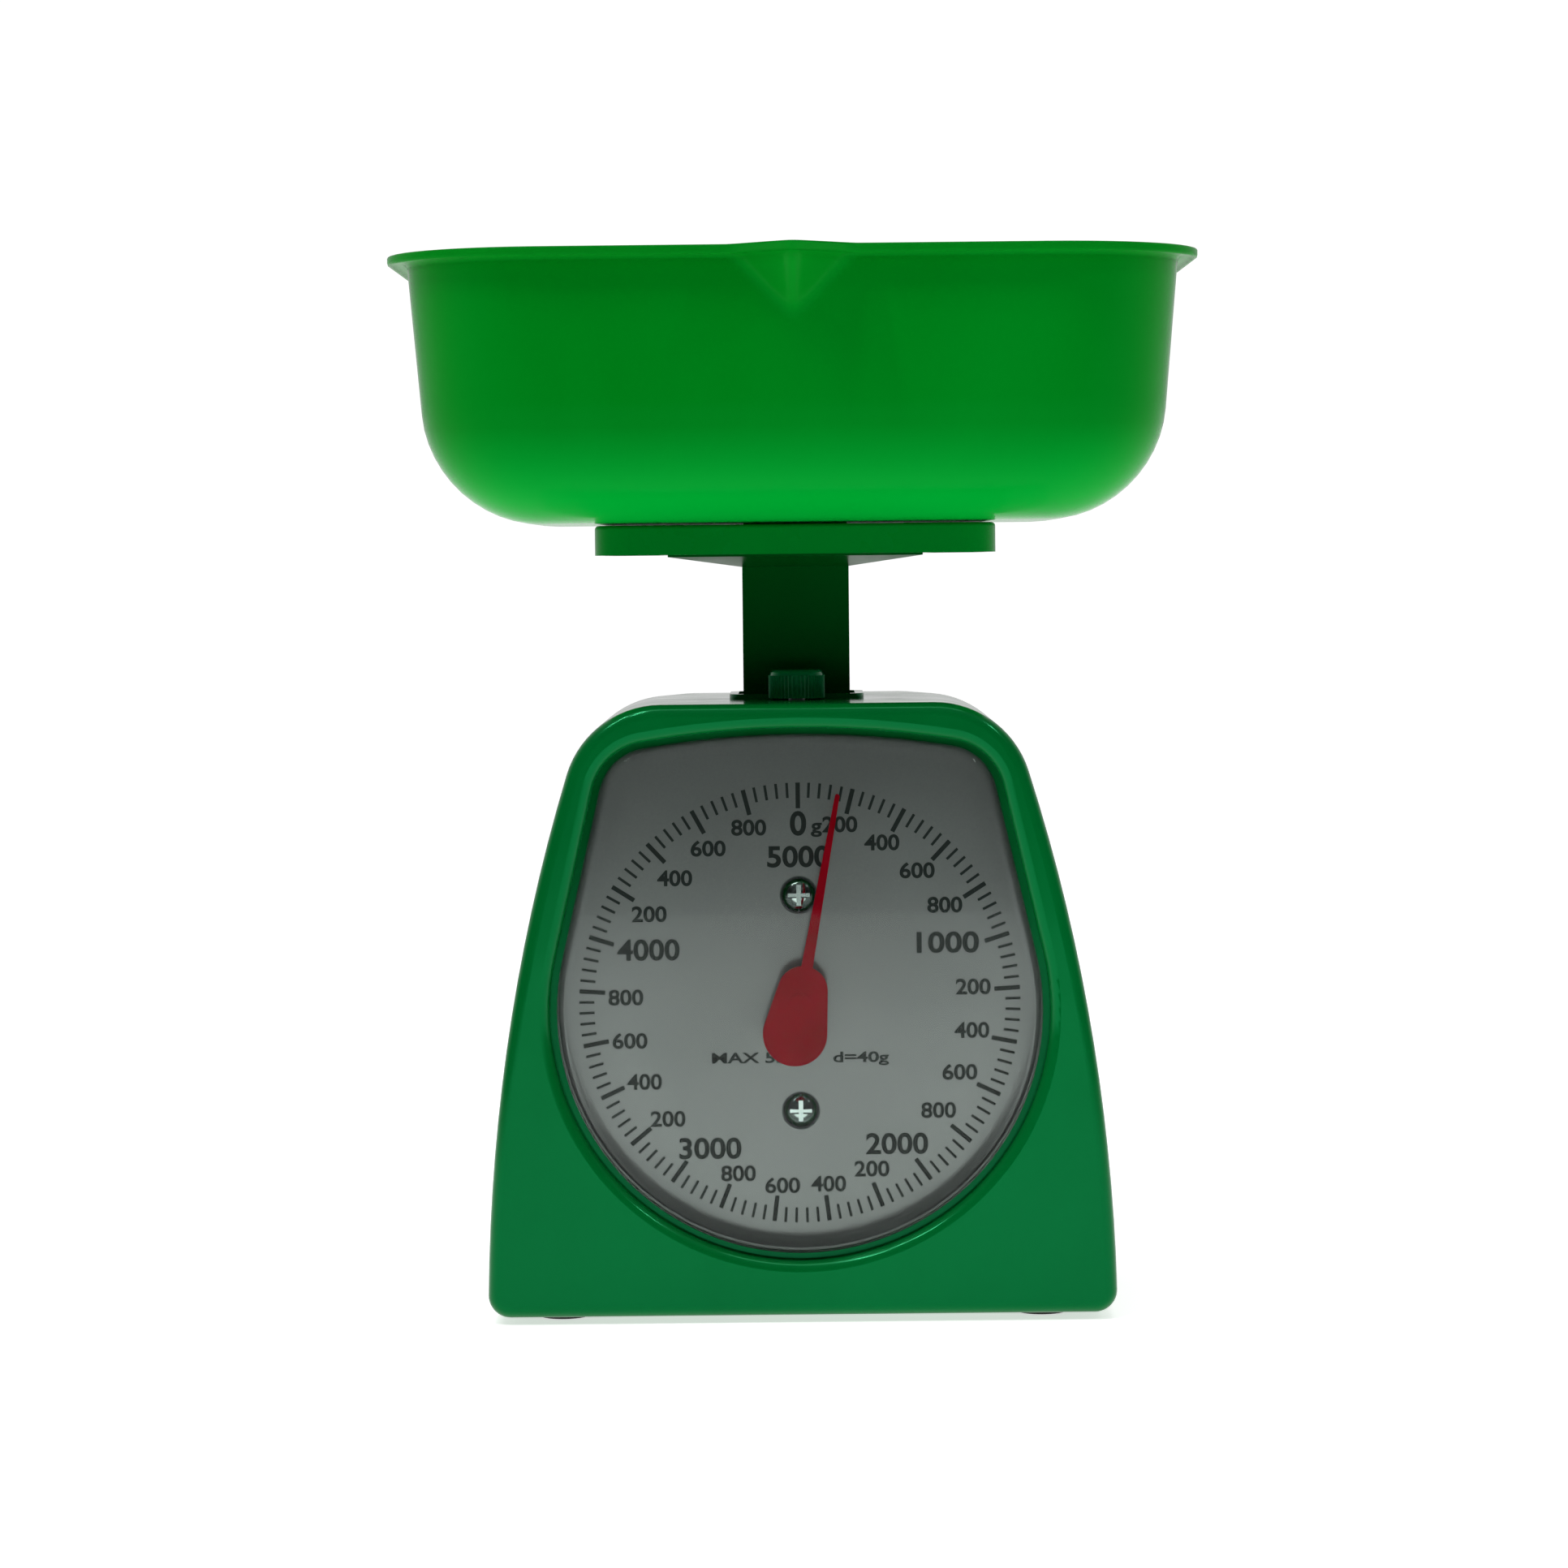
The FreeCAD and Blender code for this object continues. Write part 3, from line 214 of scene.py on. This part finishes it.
def dial_paint():
    """Silver grey lacquer with a fine metallic grain and a soft gloss."""
    shader = Shader("dial_paint")
    grain = shader.noise(2600.0, 2.0, 0.7)
    cloud = shader.noise(30.0, 3.0, 0.5)
    flecks = shader.spread(grain, 0.0, 0.35)
    tone = shader.blend_colour(flecks, linear(154, 147, 151), linear(174, 166, 170))
    shader.colour(shader.blend_colour(shader.spread(cloud, 0.0, 0.25), tone, linear(146, 142, 144)))
    shader.roughness(shader.spread(cloud, 0.13, 0.19))
    shader.bump(grain, 0.03, 0.00002)
    shader.set(Metallic=0.4)
    return shader.material


def printing_ink():
    """Blue-black print, matt and a little speckled."""
    shader = Shader("printing_ink")
    speckle = shader.noise(1800.0, 3.0, 0.6)
    shader.colour(shader.ramp(speckle, [(0.35, linear(3, 4, 8)), (0.75, linear(10, 10, 16))]))
    shader.roughness(shader.spread(speckle, 0.45, 0.65))
    shader.bump(speckle, 0.1, 0.00003)
    return shader.material


def pointer_plastic():
    """Red translucent moulding that glows a little at its edges."""
    shader = Shader("pointer_plastic")
    flow = shader.noise(120.0, 3.0, 0.5)
    shader.colour(shader.ramp(flow, [(0.3, linear(190, 2, 24)), (0.7, linear(214, 6, 38))]))
    shader.roughness(shader.spread(flow, 0.14, 0.28))
    shader.bump(shader.noise(300.0, 2.0), 0.1, 0.0001)
    shader.set(Subsurface_Weight=0.35, Subsurface_Radius=(0.006, 0.0008, 0.0008), Subsurface_Scale=1.0)
    shader.set(IOR=1.25, Specular_Tint=(1.0, 0.1, 0.2, 1.0))
    return shader.material


def bright_metal(name, deep, light, smoothest, grain_scale=700.0, variation=0.1):
    """Plated or bare metal with fine drawn grain and faint handling marks."""
    shader = Shader(name)
    grain = shader.noise(grain_scale, 4.0, 0.6, stretch=(1.0, 1.0, 0.1))
    marks = shader.noise(90.0, 5.0, 0.65)
    shader.colour(shader.blend_colour(shader.spread(marks, 0.0, 1.0), deep, light))
    shader.roughness(shader.spread(grain, smoothest, smoothest + variation))
    shader.bump(grain, 0.12, 0.00004)
    shader.set(Metallic=1.0)
    return shader.material


def soft_rubber():
    """Black rubber, dusty and finely pitted."""
    shader = Shader("soft_rubber")
    dust = shader.noise(160.0, 6.0, 0.65)
    shader.colour(shader.ramp(dust, [(0.4, linear(22, 22, 22)), (0.8, linear(48, 47, 45))]))
    shader.roughness(shader.spread(dust, 0.6, 0.85))
    shader.bump(shader.noise(1500.0, 3.0), 0.3, 0.0001)
    return shader.material


HOUSING_GREEN = moulded_plastic("housing_green", linear(0, 92, 36), linear(0, 101, 42), gloss=0.13)
# Painted shade: the platform's green plastic darkened to about a third, standing in for the shade the bowl
# and platform cast on the column.
COLUMN_PAINTED_SHADE = moulded_plastic("column_green_painted_shade", linear(0, 66, 13), linear(0, 76, 18), gloss=0.3, index=1.2)
PLATFORM_GREEN = moulded_plastic(
    "platform_green", linear(0, 112, 30), linear(0, 124, 36), gloss=0.25, index=1.25)
BOWL_GREEN = bowl_plastic()
KNOB_GREEN = moulded_plastic("knob_green", linear(2, 106, 58), linear(2, 120, 68), gloss=0.2, index=1.35)
CLEAR = clear_plastic()
DIAL_GREY = dial_paint()
INK = printing_ink()
RED = pointer_plastic()
CHROME = bright_metal("chrome", linear(196, 198, 202), linear(226, 228, 230), 0.1, variation=0.08)
PLATED_STEEL = bright_metal(
    "plated_steel", linear(140, 142, 144), linear(176, 178, 178), 0.28, variation=0.15)
SPRING_STEEL = bright_metal(
    "spring_steel", linear(110, 112, 116), linear(150, 152, 155), 0.25, grain_scale=1200.0)
BRASS = bright_metal("brass", linear(176, 134, 62), linear(214, 172, 92), 0.25, grain_scale=900.0)
RUBBER = soft_rubber()

NODE_MATERIALS = {
    "front_housing": HOUSING_GREEN,
    "rear_cover": HOUSING_GREEN,
    "column": COLUMN_PAINTED_SHADE,
    "platform": PLATFORM_GREEN,
    "bowl": BOWL_GREEN,
    "zero_knob": KNOB_GREEN,
    "dial_lens": CLEAR,
    "dial_plate": DIAL_GREY,
    "pointer": RED,
    "dial_screws": CHROME,
    "rear_cover_screws": CHROME,
    "pinion": BRASS,
    "rack": BRASS,
    "shaft_bushes": BRASS,
    "left_spring": SPRING_STEEL,
    "right_spring": SPRING_STEEL,
    "rubber_feet": RUBBER,
    "overload_stop": RUBBER,
}

for node_name, node in NODES.items():
    node.data.materials.clear()
    node.data.materials.append(NODE_MATERIALS.get(node_name, PLATED_STEEL))


# ---------------------------------------------------------------- dial print
AXIS_Z = (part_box("pointer_shaft")[0].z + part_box("pointer_shaft")[1].z) / 2
DIAL_FACE_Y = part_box("dial_plate")[0].y
FULL_SCALE = 5000
DIVISION = 40
MAJOR = 200
TICK_TOP = 49.8 * MM
TICK_INK = 0.04 * MM
MAJOR_TICK = (5.8 * MM, 1.0 * MM)
MINOR_TICK = (3.4 * MM, 0.6 * MM)
STROKE_GROWTH = 0.025
TEXT_DEPTH = 0.02


def dial_point(radius, angle):
    """Point on the face of the dial, its angle clockwise from the top."""
    return Vector((radius * math.sin(angle), DIAL_FACE_Y, AXIS_Z + radius * math.cos(angle)))


def new_piece(name, mesh, material, body):
    """A visible piece of the given material that moves with a body."""
    piece = bpy.data.objects.new(name, mesh)
    bpy.context.scene.collection.objects.link(piece)
    piece.data.materials.append(material)
    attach(piece, body)
    return piece


def finished_mesh(name, work):
    mesh = bpy.data.meshes.new(name)
    work.to_mesh(mesh)
    work.free()
    return mesh


def dial_ticks():
    """Thin raised bars of ink, a longer and wider one at every fifth division."""
    lift = Vector((0.0, -TICK_INK, 0.0))
    work = bmesh.new()
    for step in range(FULL_SCALE // DIVISION):
        grams = step * DIVISION
        angle = 2 * math.pi * grams / FULL_SCALE
        length, width = MAJOR_TICK if grams % MAJOR == 0 else MINOR_TICK
        across = Vector((math.cos(angle), 0.0, -math.sin(angle))) * (width / 2)
        low = dial_point(TICK_TOP - length, angle)
        high = dial_point(TICK_TOP, angle)
        corners = (low - across, low + across, high + across, high - across)
        back = [work.verts.new(corner) for corner in corners]
        front = [work.verts.new(corner.co + lift) for corner in back]
        work.faces.new(front)
        work.faces.new(back[::-1])
        for side in range(4):
            other = (side + 1) % 4
            work.faces.new((back[side], back[other], front[other], front[side]))
    bmesh.ops.recalc_face_normals(work, faces=work.faces)
    new_piece("dial_ticks", finished_mesh("dial_ticks", work), INK, "root")


def text_mesh(words, height, width, centre):
    """Upright lettering on the dial as a mesh of the given size, its middle at centre."""
    curve = bpy.data.curves.new("lettering", "FONT")
    curve.body = words
    curve.offset = STROKE_GROWTH
    curve.resolution_u = 6
    curve.extrude = TEXT_DEPTH
    letters = bpy.data.objects.new("lettering", curve)
    bpy.context.scene.collection.objects.link(letters)
    bpy.context.view_layer.update()
    shaped = letters.evaluated_get(bpy.context.evaluated_depsgraph_get())
    mesh = bpy.data.meshes.new_from_object(shaped)
    bpy.data.objects.remove(letters)
    bpy.data.curves.remove(curve)
    low = [min(v.co[axis] for v in mesh.vertices) for axis in range(2)]
    high = [max(v.co[axis] for v in mesh.vertices) for axis in range(2)]
    for vertex in mesh.vertices:
        x = ((vertex.co.x - low[0]) / (high[0] - low[0]) - 0.5) * width
        z = ((vertex.co.y - low[1]) / (high[1] - low[1]) - 0.5) * height
        depth = (vertex.co.z + TEXT_DEPTH) * MM
        vertex.co = Vector((centre.x + x, DIAL_FACE_Y - depth, centre.z + z))
    return mesh


def dial_numbers():
    """Grams round the dial, with the thousands larger, and the range printed under the pointer's axis."""
    large = (4.9, 14.1)
    small = (3.65, 7.9)
    side_radius = 39.3
    extra_radius = 2.3
    lag = 1.25
    thousands = {1000: (36.1, 68.2), 2000: (38.7, 146.0), 3000: (38.7, 212.1), 4000: (36.2, 289.9)}
    labels = []
    for grams in range(MAJOR, FULL_SCALE, MAJOR):
        if grams in thousands:
            labels.append((str(grams), large, *thousands[grams]))
        else:
            angle = 360.0 * grams / FULL_SCALE - lag
            radius = side_radius + extra_radius * abs(math.cos(math.radians(angle))) ** 4
            labels.append((str(grams % 1000), small, radius, angle))
    labels.append(("0", (5.6, 3.7), 40.6, 0.0))
    labels.append(("g", (3.2, 2.5), 39.3, 6.0))
    labels.append((str(FULL_SCALE), large, 33.1, 0.0))
    labels.append(("MAX 5kg      d=40g", (3.2, 40.0), 12.7, 180.0))
    work = bmesh.new()
    for words, (height, width), radius, angle in labels:
        centre = dial_point(radius * MM, math.radians(angle))
        mesh = text_mesh(words, height * MM, width * MM, centre)
        work.from_mesh(mesh)
        bpy.data.meshes.remove(mesh)
    new_piece("dial_numbers", finished_mesh("dial_numbers", work), INK, "root")


dial_ticks()
dial_numbers()


# ---------------------------------------------------------------- bowl
BOWL_LOW, BOWL_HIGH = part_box("bowl")
FLANGE = 4.2 * MM
WALL = 2.0 * MM
LEAN = 5.2 * MM
BOTTOM_RADIUS = 24.5 * MM
MOUTH_HALF_X = (BOWL_HIGH.x - BOWL_LOW.x) / 2 - FLANGE
MOUTH_HALF_Y = 67.0 * MM
MOUTH_CORNER = 31.0 * MM
BOWL_Y = BOWL_HIGH.y - FLANGE - MOUTH_HALF_Y
SPOUT_HALF = 12.3 * MM
SPOUT_DROP = 13.7 * MM
SPOUT_REACH = BOWL_Y - MOUTH_HALF_Y - FLANGE - BOWL_LOW.y
SPOUT_CREST = 1.6 * MM
SPOUT_SOFTNESS = 0.05
FLANGE_FOLLOWS = 0.72
FRONT_STEPS = 56
SIDE_STEPS = 10
BACK_STEPS = 24
ARC_STEPS = 12
WALL_STEPS = 26


def outline(inset):
    """Points round a rounded rectangle, closest together at the middle of the front side."""
    half_x = MOUTH_HALF_X - inset
    half_y = MOUTH_HALF_Y - inset
    corner = MOUTH_CORNER - inset
    run_x = half_x - corner
    run_y = half_y - corner
    points = []
    for step in range(FRONT_STEPS):
        along = 2.0 * step / FRONT_STEPS - 1.0
        points.append((run_x * (0.35 * along + 0.65 * along ** 3), -half_y))
    corners = [
        ((run_x, -run_y), -90.0, SIDE_STEPS),
        ((run_x, run_y), 0.0, BACK_STEPS),
        ((-run_x, run_y), 90.0, SIDE_STEPS),
        ((-run_x, -run_y), 180.0, 0),
    ]
    for number, (centre, start, side_steps) in enumerate(corners):
        for step in range(ARC_STEPS):
            turn = math.radians(start + 90.0 * step / ARC_STEPS)
            points.append((centre[0] + corner * math.cos(turn), centre[1] + corner * math.sin(turn)))
        following = corners[(number + 1) % len(corners)][0]
        turn = math.radians(start + 90.0)
        begin = (centre[0] + corner * math.cos(turn), centre[1] + corner * math.sin(turn))
        finish = (following[0] + corner * math.cos(turn), following[1] + corner * math.sin(turn))
        for step in range(side_steps):
            share = step / side_steps
            points.append(tuple(a + (b - a) * share for a, b in zip(begin, finish)))
    return points


def spout_push(x, y, z):
    """How far the front wall and flange stand forward, in two facets that meet at the spout's middle."""
    if y > -MOUTH_HALF_Y + MOUTH_CORNER:
        return 0.0
    across = (math.hypot(x, SPOUT_CREST) - SPOUT_CREST) / SPOUT_HALF
    share = 1.0 - (BOWL_HIGH.z - z) / SPOUT_DROP - across
    return (share + math.hypot(share, SPOUT_SOFTNESS)) / 2


def bowl_profile():
    """Inset and height of each loop, from the inner floor up, over the rim and down to the outer floor."""
    top = BOWL_HIGH.z
    floor = BOWL_LOW.z
    crowding = 1.6

    def wall(thickness, end):
        """Loops up one face of the wall to the height end, closer together towards the rim."""
        loops = []
        radius = BOTTOM_RADIUS - thickness
        for step in range(ARC_STEPS + 1):
            turn = math.radians(90.0 * step / ARC_STEPS)
            inset = thickness + radius * (1 - math.sin(turn))
            loops.append((inset, floor + thickness + radius * (1 - math.cos(turn))))
        start = loops[-1][1]
        for step in range(1, WALL_STEPS + 1):
            share = step / WALL_STEPS
            loops.append((thickness, start + (end - start) * (1 - (1 - share) ** crowding)))
        return [(inset + LEAN * (1 - (z - floor) / (top - floor)), z) for inset, z in loops]

    def floor_loops(inset, z):
        """Two close loops that keep the floor flat up to where it starts to round."""
        return [(inset + 1.2 * MM, z), (inset + 0.3 * MM, z)]

    inside = wall(WALL, top - 0.7 * MM)
    outside = wall(0.0, top - 2.6 * MM)
    inner_round = [(1.75, 0.25), (1.3, 0.0)]
    flange_top = [(-1.2, 0.0), (-3.5, 0.02), (-4.0, 0.15)]
    turned_edge = [(-4.2, 0.5), (-4.2, 1.5), (-4.1, 1.9), (-3.8, 2.1), (-3.45, 1.95), (-3.25, 1.55)]
    flange_under = [(-2.0, 1.4), (-0.8, 1.5), (-0.2, 1.8)]
    rim = inner_round + flange_top + turned_edge + flange_under
    loops = floor_loops(*inside[0]) + inside
    loops += [(inset * MM, top - drop * MM) for inset, drop in rim]
    loops += outside[::-1]
    loops += floor_loops(*outside[0])[::-1]
    return loops


def bowl():
    """One closed moulding: wall, rounded floor, flange with a turned-down edge, and the spout's fold."""
    work = bmesh.new()
    rings = []
    for inset, z in bowl_profile():
        ring = []
        for x, y in outline(inset):
            reach = SPOUT_REACH + min(max(FLANGE + inset, 0.0), FLANGE) * FLANGE_FOLLOWS
            push = spout_push(x, y, z) * reach
            ring.append(work.verts.new((x, max(y + BOWL_Y - push, BOWL_LOW.y), z)))
        rings.append(ring)
    for lower, upper in zip(rings, rings[1:]):
        for number in range(len(lower)):
            after = (number + 1) % len(lower)
            work.faces.new((lower[number], lower[after], upper[after], upper[number]))
    work.faces.new(rings[0][::-1])
    work.faces.new(rings[-1])
    bmesh.ops.recalc_face_normals(work, faces=work.faces)
    for face in work.faces:
        face.smooth = True
    mesh = finished_mesh("bowl_shell", work)
    piece = new_piece("bowl_shell", mesh, BOWL_GREEN, "bowl")
    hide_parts("bowl")


bowl()


# ---------------------------------------------------------------- floor, light and camera
FLOOR_REACH = 6.0
FLOOR_NEAR_EDGE = -1.27
LIT_POINT = (0.0, 0.0, 0.12)
BACKDROP_STRENGTH = 1.05
EYE_DISTANCE = 1.050
EYE_HEIGHT = 0.170
PITCH_DOWN = 2.69
TURN_LEFT = 0.165
ROLL = -0.6
FOCAL_LENGTH = 108.58


def stage():
    """White table top that reaches a little over a metre in front of the scale."""
    shader = Shader("pale_floor")
    tone = shader.noise(3.0, 3.0)
    shader.colour(shader.ramp(tone, [(0.3, linear(236, 236, 235)), (0.7, linear(242, 242, 241))]))
    shader.roughness(shader.spread(tone, 0.6, 0.7))
    shader.set(Emission_Color=(1.0, 1.0, 1.0, 1.0), Emission_Strength=0.62, Specular_IOR_Level=0.2)
    mesh = bpy.data.meshes.new("floor")
    corners = [
        (-FLOOR_REACH, FLOOR_NEAR_EDGE, 0),
        (FLOOR_REACH, FLOOR_NEAR_EDGE, 0),
        (FLOOR_REACH, FLOOR_REACH, 0),
        (-FLOOR_REACH, FLOOR_REACH, 0),
    ]
    mesh.from_pydata(corners, [], [(0, 1, 2, 3)])
    mesh.materials.append(shader.material)
    floor = bpy.data.objects.new("floor", mesh)
    bpy.context.scene.collection.objects.link(floor)


def softbox(name, place, size, power):
    """Rectangular lamp of the given width and height in metres and power in watts, aimed at the scale."""
    lamp = bpy.data.lights.new(name, "AREA")
    lamp.shape = "RECTANGLE"
    lamp.size, lamp.size_y = size
    lamp.energy = power
    light = bpy.data.objects.new(name, lamp)
    light.location = place
    aim = Vector(LIT_POINT) - Vector(place)
    light.rotation_euler = aim.to_track_quat("-Z", "Y").to_euler()
    bpy.context.scene.collection.objects.link(light)


def surroundings():
    """White backdrop all round to the eye; as light, bright behind and overhead and dim in front."""
    world = bpy.data.worlds.new("studio")
    bpy.context.scene.world = world
    world.use_nodes = True
    tree = world.node_tree
    backdrop = tree.nodes["Background"]
    backdrop.inputs["Color"].default_value = (1.0, 1.0, 1.0, 1.0)
    backdrop.inputs["Strength"].default_value = BACKDROP_STRENGTH
    room = tree.nodes.new("ShaderNodeBackground")
    place = tree.nodes.new("ShaderNodeTexCoord")
    parts = tree.nodes.new("ShaderNodeSeparateXYZ")
    tree.links.new(place.outputs["Generated"], parts.inputs["Vector"])
    levels = []
    behind = ("Y", -0.15, 0.45, 0.05, 0.95)
    overhead = ("Z", 0.35, 0.95, 0.0, 0.55)
    for axis, start, end, low, high in (behind, overhead):
        level = tree.nodes.new("ShaderNodeMapRange")
        set_range(level, start, end, low, high)
        tree.links.new(parts.outputs[axis], level.inputs["Value"])
        levels.append(level.outputs["Result"])
    strongest = tree.nodes.new("ShaderNodeMath")
    strongest.operation = "MAXIMUM"
    tree.links.new(levels[0], strongest.inputs[0])
    tree.links.new(levels[1], strongest.inputs[1])
    tree.links.new(strongest.outputs["Value"], room.inputs["Strength"])
    seen = tree.nodes.new("ShaderNodeLightPath")
    mix = tree.nodes.new("ShaderNodeMixShader")
    tree.links.new(seen.outputs["Is Camera Ray"], mix.inputs[0])
    tree.links.new(room.outputs["Background"], mix.inputs[1])
    tree.links.new(backdrop.outputs["Background"], mix.inputs[2])
    tree.links.new(mix.outputs["Shader"], tree.nodes["World Output"].inputs["Surface"])


def lighting():
    """One broad lamp overhead and narrow ones that draw the highlights on the rounded edges."""
    surroundings()
    tube = (0.05, 0.36)
    softbox("top", (0.0, -0.1, 1.5), (1.0, 0.9), 7.0)
    softbox("tube_near", (-0.62, -0.55, 1.15), tube, 3.0)
    softbox("tube_far", (-0.36, -0.62, 1.32), tube, 3.0)
    softbox("right_strip", (0.85, -0.6, 1.05), (0.04, 0.15), 1.2)


def camera():
    """Long lens straight in front of the housing, looking slightly down."""
    view = bpy.data.cameras.new("camera")
    view.sensor_width = 36.0
    view.lens = FOCAL_LENGTH
    view.clip_end = 50.0
    eye = bpy.data.objects.new("camera", view)
    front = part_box("front_housing")[0].y
    eye.location = (0.0, front - EYE_DISTANCE, EYE_HEIGHT)
    turns = [(TURN_LEFT, "Z"), (90 - PITCH_DOWN, "X"), (ROLL, "Z")]
    turn, pitch, roll = (Matrix.Rotation(math.radians(angle), 4, axis) for angle, axis in turns)
    eye.rotation_euler = (turn @ pitch @ roll).to_euler()
    bpy.context.scene.collection.objects.link(eye)
    bpy.context.scene.camera = eye


stage()
lighting()
camera()
bpy.context.scene.view_settings.view_transform = "Standard"
